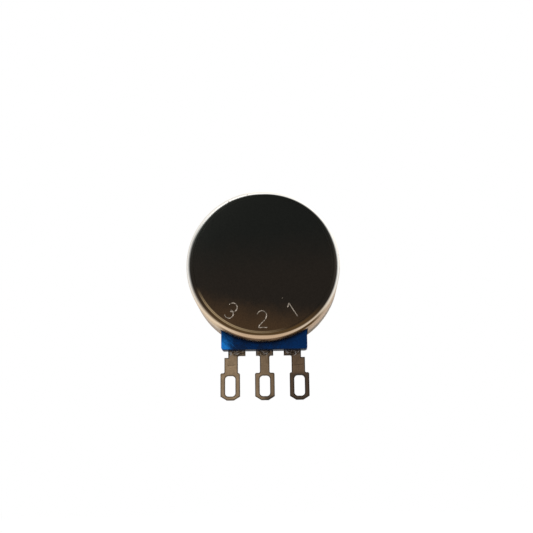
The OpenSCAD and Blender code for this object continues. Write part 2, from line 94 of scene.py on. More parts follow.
class Graph:
    """Short calls for building a shader node tree."""

    def __init__(self, tree: NodeTree) -> None:
        """Keep the tree that the nodes go into."""
        self.tree = tree

    def node(self, kind: str, **settings: Any) -> Node:
        """Add a node.

        Args:
            kind: Name of the node type, without its ShaderNode prefix.
            settings: Properties to set on the node.

        Returns:
            The new node.
        """
        made = self.tree.nodes.new("ShaderNode" + kind)
        for name, value in settings.items():
            setattr(made, name, value)
        return made

    def plug(self, value: Any, socket: Socket) -> None:
        """Link a socket, or set a plain value, on an input."""
        if isinstance(value, Socket):
            self.tree.links.new(value, socket)
        elif isinstance(value, tuple) and len(value) == 3 and socket.type == "RGBA":
            socket.default_value = (*value, 1.0)
        else:
            socket.default_value = value

    def feed(self, node: Node, **values: Any) -> None:
        """Plug values into a node's inputs, which are named with underscores for spaces."""
        for name, value in values.items():
            self.plug(value, node.inputs[name.replace("_", " ")])

    def math(self, operation: str, *values: Any) -> Socket:
        """Calculate with one to three values.

        Args:
            operation: Name of the Math node's operation.
            values: Sockets or numbers.

        Returns:
            The result.
        """
        made = self.node("Math", operation=operation)
        for socket, value in zip(made.inputs, values):
            self.plug(value, socket)
        return made.outputs[0]

    def times(self, first: Any, second: Any) -> Socket:
        """Return the product of two values."""
        return self.math("MULTIPLY", first, second)

    def span(self, value: Any, low: Any, high: Any, start: float = 0.0, end: float = 1.0) -> Socket:
        """Ease from start to end while a value goes from low to high.

        Args:
            value: The value that is looked at.
            low: Where the change begins.
            high: Where it is complete.
            start: Result up to low.
            end: Result from high on.

        Returns:
            The eased result.
        """
        made = self.node("MapRange", interpolation_type="SMOOTHSTEP")
        self.feed(made, Value=value, From_Min=low, From_Max=high, To_Min=start, To_Max=end)
        return made.outputs["Result"]

    def band(self, value: Any, low: float, high: float, soft: float) -> Socket:
        """Return 1 between two values and 0 outside them, with soft ends."""
        rise = self.span(value, low - soft, low + soft)
        fall = self.span(value, high - soft, high + soft, 1.0, 0.0)
        return self.times(rise, fall)

    def mix(self, share: Any, first: Any, second: Any) -> Socket:
        """Blend from the first colour to the second by a share."""
        made = self.node("Mix", data_type="RGBA")
        for index, value in zip((0, 6, 7), (share, first, second)):
            self.plug(value, made.inputs[index])
        return made.outputs[2]

    def noise(self, vector: Socket, scale: Any, detail: float = 3.0, rough: float = 0.55) -> Socket:
        """Return cloudy noise between 0 and 1."""
        made = self.node("TexNoise")
        self.feed(made, Vector=vector, Scale=scale, Detail=detail, Roughness=rough)
        return made.outputs["Fac"]

    def combine(self, *values: Any) -> Socket:
        """Return a vector of three values."""
        made = self.node("CombineXYZ")
        for socket, value in zip(made.inputs, values):
            self.plug(value, socket)
        return made.outputs[0]

    def split(self, vector: Socket) -> tuple[Socket, Socket, Socket]:
        """Return the three values of a vector."""
        made = self.node("SeparateXYZ")
        self.plug(vector, made.inputs[0])
        return made.outputs[0], made.outputs[1], made.outputs[2]

    def scale(self, vector: Any, factor: Any) -> Socket:
        """Return a vector or colour times a factor."""
        made = self.node("VectorMath", operation="SCALE")
        self.plug(vector, made.inputs[0])
        self.plug(factor, made.inputs["Scale"])
        return made.outputs[0]

    def length(self, first: Any, second: Any) -> Socket:
        """Return how far two values at right angles reach, such as x and z from the shaft's axis."""
        made = self.node("VectorMath", operation="LENGTH")
        self.plug(self.combine(first, second, 0.0), made.inputs[0])
        return made.outputs["Value"]

    def place(self) -> Socket:
        """Return the point on the surface, in millimetres, in the piece's own frame."""
        return self.scale(self.node("TexCoord").outputs["Object"], 1.0 / MM)

    def group(self, tree: NodeTree, **values: Any) -> Socket:
        """Place a node group.

        Args:
            tree: The group.
            values: Its inputs; those left out stay 0.

        Returns:
            The group's value.
        """
        made = self.node("Group", node_tree=tree)
        self.feed(made, **values)
        return made.outputs[0]


class Skin(Graph):
    """The graph of a new material, its Principled shader and the point that is shaded."""

    def __init__(self, name: str) -> None:
        """Make the material."""
        self.material = bpy.data.materials.new(name)
        self.material.use_nodes = True
        super().__init__(self.material.node_tree)
        self.shader = self.tree.nodes["Principled BSDF"]
        self.point = self.place()

    def wear(self, **values: Any) -> None:
        """Set the shader's inputs, which are named with underscores for spaces."""
        self.feed(self.shader, **values)

    def bump(self, height: Socket, depth: float) -> None:
        """Let a height from 0 to 1, times a depth in millimetres, tilt the surface."""
        made = self.node("Bump")
        self.feed(made, Distance=depth * MM, Height=height)
        self.wear(Normal=made.outputs[0])


class Effects:
    """The effects that more than one finish uses, each a node group that is built once."""

    def __init__(self) -> None:
        """Build the groups."""
        self.mottle = self._build("Plating mottle", ("Scale", "Contrast"), self._mottle)
        self.streaks = self._build("Tool streaks", ("Fineness", "Turned", "Drawn", "Rolled"), self._streaks)
        self.specks = self._build("Fine specks", ("Scale", "Amount"), self._specks)

    def cloud(self, skin: Skin, scale: float, contrast: float) -> Socket:
        """Return the mottle of a skin."""
        return skin.group(self.mottle, Place=skin.point, Scale=scale, Contrast=contrast)

    def marks(self, skin: Skin, fineness: float, **shares: float) -> Socket:
        """Return the tool marks of a skin, with the shares of Turned, Drawn and Rolled ones."""
        return skin.group(self.streaks, Place=skin.point, Fineness=fineness, **shares)

    @staticmethod
    def _build(
        name: str, inputs: Sequence[str], fill: Callable[[Graph, dict[str, Socket]], Socket]
    ) -> NodeTree:
        """Make a group with a Place input, number inputs and one Value output."""
        tree = bpy.data.node_groups.new(name, "ShaderNodeTree")
        tree.interface.new_socket(name="Place", in_out="INPUT", socket_type="NodeSocketVector")
        for label in inputs:
            tree.interface.new_socket(name=label, in_out="INPUT", socket_type="NodeSocketFloat")
        tree.interface.new_socket(name="Value", in_out="OUTPUT", socket_type="NodeSocketFloat")
        start = tree.nodes.new("NodeGroupInput")
        end = tree.nodes.new("NodeGroupOutput")
        sockets = {socket.name: socket for socket in start.outputs if socket.name}
        tree.links.new(fill(Graph(tree), sockets), end.inputs["Value"])
        return tree

    @staticmethod
    def _mottle(graph: Graph, use: dict[str, Socket]) -> Socket:
        """Blotches of two sizes, as a thin plating shows."""
        wide = graph.noise(use["Place"], use["Scale"], 4.0, 0.6)
        fine = graph.noise(use["Place"], graph.times(use["Scale"], 5.3), 3.0, 0.7)
        both = graph.math("MULTIPLY_ADD", wide, 0.65, graph.times(fine, 0.35))
        return graph.math("MULTIPLY_ADD", graph.math("SUBTRACT", both, 0.5), use["Contrast"], 0.5)

    @staticmethod
    def _streaks(graph: Graph, use: dict[str, Socket]) -> Socket:
        """Long marks: rings round the shaft's axis, lines along it, or lines up and down."""
        x, y, z = graph.split(use["Place"])
        fine = use["Fineness"]
        ways = (
            ("Turned", (graph.length(x, z), y, graph.math("ARCTAN2", z, x)), (fine, fine, 0.35)),
            ("Drawn", (x, y, z), (fine, 0.3, fine)),
            ("Rolled", (x, y, z), (fine, fine, 0.35)),
        )
        total: Any = 0.0
        for name, values, factors in ways:
            vector = graph.combine(*(graph.times(value, factor) for value, factor in zip(values, factors)))
            total = graph.math("MULTIPLY_ADD", use[name], graph.noise(vector, 1.0, 3.0, 0.65), total)
        return total

    @staticmethod
    def _specks(graph: Graph, use: dict[str, Socket]) -> Socket:
        """Small separate dots, such as dust and pinholes."""
        cells = graph.node("TexVoronoi", feature="F1")
        graph.feed(cells, Vector=use["Place"], Scale=use["Scale"])
        reach = graph.times(use["Amount"], graph.noise(use["Place"], 0.9, 1.0))
        return graph.math("LESS_THAN", cells.outputs["Distance"], reach)


@dataclass(frozen=True)
class Finish:
    """The look of one material slot."""

    slot: str

    def paint(self, skin: Skin, effects: Effects) -> None:
        """Set the shader of a new skin."""
        raise NotImplementedError

    def build(self, effects: Effects) -> Material:
        """Return the finish as a material."""
        skin = Skin(self.slot)
        self.paint(skin, effects)
        return skin.material


@dataclass(frozen=True)
class MetalFinish(Finish):
    """Bare or plated metal: mottled colour, tool marks and uneven gloss."""

    light: Colour
    dark: Colour
    roughness: float
    grain: Grain = Grain.PLAIN
    fineness: float = 14.0
    mottle: float = 0.8
    blotch: float = 0.5
    depth: float = 0.004
    edge_tint: Colour = (1.0, 1.0, 1.0)

    def paint(self, skin: Skin, effects: Effects) -> None:
        """Set the shader of a new skin."""
        cloud = effects.cloud(skin, self.mottle, 1.6)
        if self.grain is Grain.PLAIN:
            marks = skin.noise(skin.point, self.fineness, 4.0, 0.6)
        else:
            turned = 1.0 if self.grain is Grain.TURNED else 0.0
            marks = effects.marks(skin, self.fineness, Turned=turned, Rolled=1.0 - turned)
        both = skin.math("MULTIPLY_ADD", marks, 1.0 - self.blotch, skin.times(cloud, self.blotch))
        skin.wear(
            Base_Color=skin.mix(skin.span(both, 0.3, 0.7), self.dark, self.light),
            Metallic=1.0,
            Specular_Tint=self.edge_tint,
            Roughness=skin.span(both, 0.25, 0.75, self.roughness * 1.3, self.roughness * 0.8),
        )
        skin.bump(marks, self.depth)


@dataclass(frozen=True)
class MouldedFinish(Finish):
    """Moulded plastic, printed ink or laminate: fine texture and a little unevenness."""

    light: Colour
    dark: Colour
    roughness: float
    scale: float = 1.2
    specks: float = 0.0
    depth: float = 0.006
    metallic: float = 0.0

    def paint(self, skin: Skin, effects: Effects) -> None:
        """Set the shader of a new skin."""
        cloud = effects.cloud(skin, self.scale, 1.8)
        colour = skin.mix(skin.span(cloud, 0.3, 0.7), self.dark, self.light)
        if self.specks:
            dots = skin.group(effects.specks, Place=skin.point, Scale=3.5, Amount=self.specks)
            colour = skin.mix(skin.times(dots, 0.6), colour, self.dark)
        gloss = skin.span(cloud, 0.2, 0.8, self.roughness * 1.2, self.roughness * 0.85)
        skin.wear(Base_Color=colour, Metallic=self.metallic, Roughness=gloss)
        skin.bump(skin.noise(skin.point, 9.0, 4.0, 0.6), self.depth)


@dataclass(frozen=True)
class CaseFinish(Finish):
    """Nickel on a drawn can, with light painted into its colour: a painted dark reflection on the rear
    face, a painted highlight on the rolled corner and painted reflections and shade on the drawn side wall.
    """

    slot: str = "cover_nickel"
    # Painted reflection on the rear face: near black at the top, warm brown at the foot.
    face_top_dark_reflection: Colour = srgb(26, 27, 25)
    face_middle_dark_reflection: Colour = srgb(35, 31, 27)
    face_foot_warm_reflection: Colour = srgb(65, 49, 34)
    # Painted highlight on the edge of the face's step, and a painted dark reflection in the gutter round
    # it.
    ring: Colour = srgb(150, 130, 100)
    gutter_dark_reflection: Colour = srgb(82, 62, 38)
    # Painted highlight and reflections on the rolled corner, lightest at the top and warmer towards the
    # foot.
    rim_top_highlight: Colour = srgb(250, 248, 243)
    rim_left_reflection: Colour = srgb(226, 204, 176)
    rim_foot_warm_reflection: Colour = srgb(196, 168, 138)
    rim_right_reflection: Colour = srgb(206, 188, 166)
    # Painted shade under the rolled corner, above the terminal block.
    rim_under_shade: Colour = srgb(112, 90, 72)
    rim_under_right_shade: Colour = srgb(82, 60, 36)
    # Painted dark reflection along the corner's outer edge.
    rim_outer_dark_reflection: Colour = srgb(112, 109, 104)
    # Painted reflections on the side wall: light grey at the top, warm tan at the foot, darker towards the
    # front.
    wall_top_reflection: Colour = srgb(214, 211, 204)
    wall_top_front_reflection: Colour = srgb(176, 172, 164)
    wall_left_warm_reflection: Colour = srgb(240, 222, 198)
    wall_left_front_reflection: Colour = srgb(158, 134, 114)
    wall_right_warm_reflection: Colour = srgb(198, 168, 138)
    wall_right_front_dark_reflection: Colour = srgb(84, 72, 62)
    # Painted shade on the wall's underside, above the terminal block.
    wall_under_shade: Colour = srgb(104, 86, 76)
    tab: Colour = srgb(196, 190, 180)
    edge_tint: Colour = (0.64, 0.56, 0.47)
    face_r: float = 10.8
    corner_r: float = 10.9
    corner_y: float = -8.68

    def _face_reflection(self, skin: Skin, x: Socket, z: Socket, cloud: Socket) -> Socket:
        """Return the rear face's painted reflection: near black at the top, warm brown towards its foot."""
        drift = skin.math("MULTIPLY_ADD", skin.math("SUBTRACT", cloud, 0.5), 3.0, z)
        middle = skin.math("MULTIPLY_ADD", x, -0.08, drift)
        colour = skin.mix(skin.span(middle, -3.0, 6.0), self.face_middle_dark_reflection, self.face_top_dark_reflection)
        foot = skin.math("MULTIPLY_ADD", x, 0.18, drift)
        return skin.mix(skin.span(foot, -10.5, -5.0, 1.0, 0.0), colour, self.face_foot_warm_reflection)

    def _step(self, skin: Skin, x: Socket, z: Socket, face: Socket) -> Socket:
        """Return the face's colour with a painted highlight on the edge of its step and a painted dark
        reflection in the brown gutter round it.
        """
        radius = skin.length(x, z)
        highlight_side = skin.math("MULTIPLY_ADD", x, -0.42, skin.times(z, -0.91))
        # The step's painted highlight, strongest towards the lower left.
        edge = skin.band(radius, self.face_r - 0.14, self.face_r + 0.17, 0.05)
        share = skin.times(skin.span(highlight_side, 7.4, 10.2), skin.span(x, -6.0, 1.0, 1.0, 0.55))
        colour = skin.mix(skin.times(edge, share), face, self.ring)
        below = skin.span(z, -10.5, -6.0, 0.95, 0.0)
        gutter_reflection_share = skin.times(skin.span(radius, self.face_r + 0.16, self.face_r + 0.24), below)
        return skin.mix(gutter_reflection_share, colour, self.gutter_dark_reflection)

    def _lit(self, skin: Skin, x: Socket, z: Socket, tilt: Socket) -> Socket:
        """Return the share of light on the rolled corner, which begins at a tilt that varies round it."""
        reach = skin.math("ABSOLUTE", x)
        side = skin.span(reach, 4.0, 11.0)
        left = skin.span(x, -11.0, -4.0, 1.0, 0.0)
        begin = skin.math("MULTIPLY_ADD", reach, 1.2, 20.0)
        late = skin.span(z, -5.0, 5.0, 0.85, 0.2)
        begin = skin.math("MULTIPLY_ADD", skin.math("MAXIMUM", x, 0.0), late, begin)
        lower_left = skin.times(left, skin.span(z, 3.0, 8.0, 1.0, 0.0))
        begin = skin.math("MULTIPLY_ADD", lower_left, 6.0, begin)
        early = skin.math("MULTIPLY_ADD", left, 8.0, skin.times(side, 5.0))
        low = skin.math("SUBTRACT", -4.0, early)
        high = skin.math("ADD", skin.math("MULTIPLY_ADD", side, 8.0, 5.0), skin.times(left, 7.0))
        return skin.span(skin.math("SUBTRACT", tilt, begin), low, high)

    def _rim_reflections(self, skin: Skin, x: Socket, z: Socket, tilt: Socket) -> Socket:
        """Return the rolled corner's painted reflections, which depend on how far its surface has turned: a
        painted highlight, bright at the top and warmer towards the foot, a painted dark reflection at the
        outer edge, and painted shade underneath at the lower right.
        """
        foot = skin.mix(skin.span(x, -7.5, -2.5, 1.0, 0.0), self.rim_foot_warm_reflection, self.rim_left_reflection)
        foot = skin.mix(skin.span(x, 3.0, 7.0), foot, self.rim_right_reflection)
        colour = skin.mix(skin.span(z, -9.0, -1.0), foot, self.rim_top_highlight)
        # Painted dark reflection where the corner turns away, on its upper half.
        outer = skin.times(skin.span(tilt, 58.0, 82.0), skin.span(z, -6.0, 2.0, 0.0, 0.85))
        colour = skin.mix(outer, colour, self.rim_outer_dark_reflection)
        # Painted shade under the corner at the lower right.
        low = skin.times(skin.span(x, -7.8, -5.4), skin.span(z, -9.6, -6.4, 1.0, 0.0))
        under_shade = skin.mix(skin.span(x, 2.0, 6.0), self.rim_under_shade, self.rim_under_right_shade)
        return skin.mix(skin.times(low, skin.span(tilt, 47.0, 57.0)), colour, under_shade)

    def _wall_reflections(self, skin: Skin, x: Socket, y: Socket, z: Socket, marks: Socket) -> Socket:
        """Return the side wall's painted reflections, light grey at the top and warm tan at the foot,
        darker towards the front, with painted shade underneath and fine marks round it.
        """
        front = skin.span(y, -8.0, -3.6)
        top = skin.mix(front, self.wall_top_reflection, self.wall_top_front_reflection)
        left = skin.mix(front, self.wall_left_warm_reflection, self.wall_left_front_reflection)
        right = skin.mix(skin.span(y, -4.6, -3.2), self.wall_right_warm_reflection, self.wall_right_front_dark_reflection)
        foot = skin.mix(skin.span(x, -2.0, 3.0), left, right)
        colour = skin.mix(skin.span(z, -4.5, 2.5), foot, top)
        # Painted shade on the underside of the wall.
        under_shade = skin.times(skin.span(z, -10.2, -9.4, 1.0, 0.0), skin.span(y, -8.5, -7.9))
        colour = skin.mix(under_shade, colour, self.wall_under_shade)
        colour = skin.mix(skin.span(y, -1.75, -1.45), colour, self.tab)
        return skin.scale(colour, skin.span(marks, 0.32, 0.68, 0.82, 1.1))

    def paint(self, skin: Skin, effects: Effects) -> None:
        """Set the shader of a new skin."""
        x, y, z = skin.split(skin.point)
        cloud = effects.cloud(skin, 0.32, 1.7)
        grain = effects.cloud(skin, 6.5, 1.6)
        marks = effects.marks(skin, 2.6, Turned=0.6, Drawn=0.4)
        outward = skin.math("SUBTRACT", skin.length(x, z), self.corner_r)
        backward = skin.math("SUBTRACT", self.corner_y, y)
        tilt = skin.math("DEGREES", skin.math("ARCTAN2", outward, backward))
        # The rear face's painted reflection, with a fine grain over it.
        face = skin.scale(self._face_reflection(skin, x, z, cloud), skin.span(grain, 0.2, 0.8, 0.8, 1.2))
        colour = self._step(skin, x, z, face)
        # The rolled corner's painted highlight and reflections, mixed in by its lit share.
        colour = skin.mix(self._lit(skin, x, z, tilt), colour, self._rim_reflections(skin, x, z, tilt))
        wall = skin.span(y, self.corner_y - 0.1, self.corner_y + 0.35)
        skin.wear(
            Base_Color=skin.mix(wall, colour, self._wall_reflections(skin, x, y, z, marks)),
            Metallic=1.0,
            Specular_Tint=self.edge_tint,
            Roughness=skin.span(grain, 0.2, 0.8, 0.36, 0.28),
        )
        skin.bump(grain, 0.003)


@dataclass(frozen=True)
class GrooveFinish(Finish):
    """The struck numbers: bright, rougher metal in the grooves."""

    slot: str = "cover_nickel_struck"
    light: Colour = srgb(168, 158, 146)
    dark: Colour = srgb(80, 72, 62)

    def paint(self, skin: Skin, effects: Effects) -> None:
        """Set the shader of a new skin."""
        grit = effects.cloud(skin, 3.0, 2.0)
        colour = skin.mix(skin.span(grit, 0.3, 0.7), self.dark, self.light)
        skin.wear(Base_Color=colour, Metallic=1.0, Roughness=0.4)


@dataclass(frozen=True)
class BlockFinish(Finish):
    """Blue moulding: deep navy, with a painted highlight at its left end, painted shade where the case
    shades it and painted shade on its bottom face.
    """

    slot: str = "base_plastic"
    deep: Colour = srgb(15, 34, 65)
    middle: Colour = srgb(8, 41, 85)
    left_highlight: Colour = srgb(26, 112, 190)
    shade: Colour = srgb(7, 12, 27)
    foot: Colour = srgb(18, 26, 40)

    def paint(self, skin: Skin, effects: Effects) -> None:
        """Set the shader of a new skin."""
        x, _, z = skin.split(skin.point)
        cloud = effects.cloud(skin, 0.6, 2.2)
        fine = effects.cloud(skin, 3.2, 1.6)
        across = skin.math("ADD", x, z)
        along = skin.times(skin.math("SUBTRACT", x, z), 0.2)
        flow = skin.noise(skin.combine(across, 0.0, along), 1.9, 3.0, 0.6)
        colour = skin.mix(skin.span(cloud, 0.35, 0.75), self.deep, self.middle)
        colour = skin.mix(skin.span(x, 1.5, 5.5, 0.0, 0.75), colour, self.middle)
        edge = skin.math("MULTIPLY_ADD", skin.math("SUBTRACT", flow, 0.5), 3.4, x)
        # Painted highlight along the left end, streaked.
        glow = skin.times(skin.span(edge, -6.9, -4.5, 1.0, 0.0), skin.span(z, -12.2, -10.9, 1.0, 0.3))
        colour = skin.mix(glow, colour, self.left_highlight)
        colour = skin.scale(colour, skin.span(fine, 0.2, 0.8, 0.85, 1.15))
        # Painted shade where the case shades the block.
        near = skin.span(skin.length(x, z), 11.75, 12.5, 0.9, 0.0)
        colour = skin.mix(near, colour, self.shade)
        # Painted shade on the bottom face.
        colour = skin.mix(skin.span(z, -13.03, -12.9, 0.95, 0.0), colour, self.foot)
        skin.wear(Base_Color=colour, Roughness=0.34, IOR=1.07)
        skin.bump(skin.noise(skin.point, 1.6, 3.0, 0.6), 0.012)


@dataclass(frozen=True)
class LugFinish(Finish):
    """Dull tin on brass: brown-grey with painted shade darker to the right, darker and silvery blotches at
    the roots, a painted dark reflection on the right lug's head and a darker middle tip.
    """

    slot: str = "lug_tin"
    # Painted shade: lighter on the left, darker to the right.
    left: Colour = srgb(132, 112, 88)
    right: Colour = srgb(92, 74, 57)
    dark_patch: Colour = srgb(52, 43, 36)
    silver: Colour = srgb(150, 147, 145)
    # Share of the tin's colour; below 1 it makes a darker copy for painted shade.
    share: float = 1.0

    def paint(self, skin: Skin, effects: Effects) -> None:
        """Set the shader of a new skin."""
        x, _, z = skin.split(skin.point)
        cloud = effects.cloud(skin, 1.1, 1.8)
        rolled = effects.marks(skin, 9.0, Rolled=1.0)
        both = skin.math("MULTIPLY_ADD", cloud, 0.6, skin.times(rolled, 0.4))
        colour = skin.mix(skin.span(x, -5.0, 5.5), self.left, self.right)
        colour = skin.scale(colour, skin.span(both, 0.3, 0.7, 0.8, 1.14))
        blot = skin.noise(skin.point, 2.2, 3.0, 0.65)
        root = skin.span(z, -14.1, -13.5)
        for low, high, tint in ((0.49, 0.4, self.silver), (0.52, 0.58, self.dark_patch)):
            colour = skin.mix(skin.times(root, skin.span(blot, low, high, 0.0, 0.85)), colour, tint)
        # Painted dark reflection on the right lug's head; the middle lug's tip is made darker too.
        head = skin.times(skin.span(x, 3.0, 4.6), skin.span(z, -16.9, -16.2, 0.7, 0.0))
        tip = skin.times(skin.span(x, -0.9, 0.7), skin.span(z, -20.35, -19.8, 0.8, 0.0))
        colour = skin.mix(skin.math("MAXIMUM", head, tip), colour, self.dark_patch)
        gloss = skin.span(both, 0.2, 0.8, 0.5, 0.36)
        skin.wear(Base_Color=skin.scale(colour, self.share), Metallic=0.9, Roughness=gloss)
        skin.bump(both, 0.012)


FINISHES: dict[str, Finish] = {
    finish.slot: finish
    for finish in (
        CaseFinish(),
        GrooveFinish(),
        BlockFinish(),
        LugFinish(),
        # Darker copy of the tin: painted shade on the coined slopes and struck lines.
        LugFinish("lug_tin_edge_shade", share=0.36),
        MetalFinish(
            "plate_nickel", srgb(172, 163, 148), srgb(126, 116, 102), 0.32, Grain.ROLLED, 5.0, 0.5, 0.45,
            edge_tint=(0.36, 0.29, 0.23),
        ),
        MetalFinish(
            "bushing_nickel", srgb(210, 204, 192), srgb(170, 162, 148), 0.25, Grain.TURNED, 16.0, 0.6, 0.3
        ),
        MetalFinish(
            "shaft_steel", srgb(206, 204, 200), srgb(168, 165, 160), 0.24, Grain.TURNED, 9.0, 0.25, 0.12
        ),
        MetalFinish("ring_steel", srgb(62, 60, 58), srgb(34, 33, 33), 0.38, Grain.ROLLED, 10.0),
        MetalFinish(
            "washer_steel", srgb(188, 184, 176), srgb(150, 145, 138), 0.3, Grain.TURNED, 12.0, 0.5, 0.2
        ),
        MetalFinish("spring_bronze", srgb(198, 156, 102), srgb(156, 116, 70), 0.3, Grain.ROLLED, 9.0),
        MetalFinish("contact_metal", srgb(224, 222, 214), srgb(184, 180, 170), 0.22, Grain.PLAIN, 6.0),
        MetalFinish("eyelet_brass", srgb(214, 180, 112), srgb(166, 130, 70), 0.3, Grain.PLAIN, 7.0),
        MouldedFinish("washer_nylon", srgb(232, 226, 210), srgb(210, 202, 184), 0.45),
        MouldedFinish("rotor_plastic", srgb(40, 40, 42), srgb(24, 24, 26), 0.4, specks=0.12),
        MouldedFinish("board_laminate", srgb(150, 104, 60), srgb(112, 72, 38), 0.5, 0.8, specks=0.18),
        MouldedFinish("carbon_ink", srgb(30, 30, 32), srgb(14, 14, 15), 0.55, 2.4),
        MouldedFinish("silver_ink", srgb(200, 200, 198), srgb(160, 160, 158), 0.45, 2.4, metallic=0.8),
    )
}


def add_object(name: str, data: bpy.types.ID) -> Piece:
    """Return a new object of the scene with its data."""
    made = bpy.data.objects.new(name, data)
    bpy.context.scene.collection.objects.link(made)
    return made


def make_object(name: str, mesh: Mesh) -> Piece:
    """Turn a working mesh in millimetres into an object of the scene.

    Args:
        name: Name of the object.
        mesh: The working mesh, which is freed.

    Returns:
        The object.
    """
    bmesh.ops.remove_doubles(mesh, verts=mesh.verts, dist=SAME_PLACE)
    bmesh.ops.recalc_face_normals(mesh, faces=mesh.faces)
    bmesh.ops.scale(mesh, vec=(MM, MM, MM), verts=mesh.verts)
    data = bpy.data.meshes.new(name)
    mesh.to_mesh(data)
    mesh.free()
    return add_object(name, data)


def dress(piece: Piece, *materials: Material) -> None:
    """Give a piece its materials, the first of them on every face."""
    piece.data.materials.clear()
    for material in materials:
        piece.data.materials.append(material)


def smooth(piece: Piece, angle: float = 30.0) -> None:
    """Shade a piece smooth, apart from edges sharper than an angle in degrees."""
    data = piece.data
    data.polygons.foreach_set("use_smooth", [True] * len(data.polygons))
    data.set_sharp_from_angle(angle=math.radians(angle))
    data.update()


def settle(piece: Piece) -> None:
    """Turn a piece's modifiers into its mesh."""
    bpy.context.view_layer.update()
    graph = bpy.context.evaluated_depsgraph_get()
    data = bpy.data.meshes.new_from_object(piece.evaluated_get(graph))
    piece.modifiers.clear()
    old = piece.data
    piece.data = data
    bpy.data.meshes.remove(old)


def bevel(piece: Piece, width: float, angle: float = 50.0, segments: int = 2) -> None:
    """Round a piece's sharp edges.

    Args:
        piece: The piece.
        width: Most that the rounding is wide, in millimetres; short edges of the piece clamp it.
        angle: Edges sharper than this, in degrees, are rounded.
        segments: Faces across the rounding.
    """
    added = piece.modifiers.new("Rounded edges", "BEVEL")
    added.width = width * MM
    added.segments = segments
    added.limit_method = "ANGLE"
    added.angle_limit = math.radians(angle)
    added.use_clamp_overlap = True
    added.harden_normals = False


def cut(piece: Piece, cutter: Piece) -> None:
    """Cut one piece with another, which is removed."""
    added = piece.modifiers.new("Cut", "BOOLEAN")
    added.operation = "DIFFERENCE"
    added.object = cutter
    added.solver = "EXACT"
    settle(piece)
    data = cutter.data
    bpy.data.objects.remove(cutter)
    bpy.data.meshes.remove(data)


def strike(piece: Piece, name: str, mesh: Mesh) -> None:
    """Cut a mesh out of a piece, with the piece's second material on the new faces.

    Args:
        piece: The piece, which has two materials.
        name: Name of the cut.
        mesh: Its working mesh in millimetres.
    """
    cutter = make_object(name, mesh)
    dress(cutter, *piece.data.materials)
    cutter.data.polygons.foreach_set("material_index", [1] * len(cutter.data.polygons))
    cut(piece, cutter)


def full_turn(steps: int) -> list[float]:
    """Return the angles of a full turn in equal steps, in radians."""
    return [2 * math.pi * i / steps for i in range(steps)]


def arc(centre: Point, radius: float, start: float, end: float, steps: int) -> list[Point]:
    """Return the points of an arc, with its angles in degrees."""
    turns = [math.radians(start + (end - start) * i / steps) for i in range(steps + 1)]
    return [(centre[0] + radius * math.cos(a), centre[1] + radius * math.sin(a)) for a in turns]


def join_rings(mesh: Mesh, rings: Sequence[Ring]) -> None:
    """Join each ring of corners to the next one with a band of faces."""
    for first, second in zip(rings, rings[1:]):
        for i in range(len(first)):
            j = (i + 1) % len(first)
            mesh.faces.new((first[i], first[j], second[j], second[i]))


def close_ends(mesh: Mesh, rings: Sequence[Ring]) -> None:
    """Close the first and the last ring of corners with a face each."""
    mesh.faces.new(rings[0])
    mesh.faces.new(rings[-1][::-1])


def revolve(profile: Sequence[Point], steps: int, mesh: Mesh | None = None) -> Mesh:
    """Turn a profile round the shaft's axis.

    Args:
        profile: Points as radius and y.
        steps: Number of steps in the full turn.
        mesh: A working mesh to add to, or None for a new one.

    Returns:
        The mesh.
    """
    if mesh is None:
        mesh = bmesh.new()
    rings = []
    for radius, y in profile:
        ring = [mesh.verts.new((radius * math.cos(a), y, radius * math.sin(a))) for a in full_turn(steps)]
        rings.append(ring)
    join_rings(mesh, rings)
    return mesh


def prism(outline: Sequence[Point], low: float, high: float) -> Mesh:
    """Raise an outline of x and z between two values of y."""
    mesh = bmesh.new()
    rings = [[mesh.verts.new((x, y, z)) for x, z in outline] for y in (low, high)]
    close_ends(mesh, rings)
    join_rings(mesh, rings)
    return mesh


def tube(path: Sequence[Vector], radius: float, sides: int = 12) -> Mesh:
    """Sweep a round section along a path that lies in a plane of constant y.

    Args:
        path: Points in millimetres.
        radius: Radius of the section.
        sides: Sides of the section.

    Returns:
        The swept mesh, with closed ends.
    """
    mesh = bmesh.new()
    deep = Vector((0, 1, 0))
    rings = []
    for index, point in enumerate(path):
        ahead = path[min(index + 1, len(path) - 1)] - path[max(index - 1, 0)]
        side = deep.cross(ahead).normalized()
        places = [point + radius * (side * math.cos(a) + deep * math.sin(a)) for a in full_turn(sides)]
        rings.append([mesh.verts.new(place) for place in places])
    join_rings(mesh, rings)
    close_ends(mesh, rings)
    return mesh


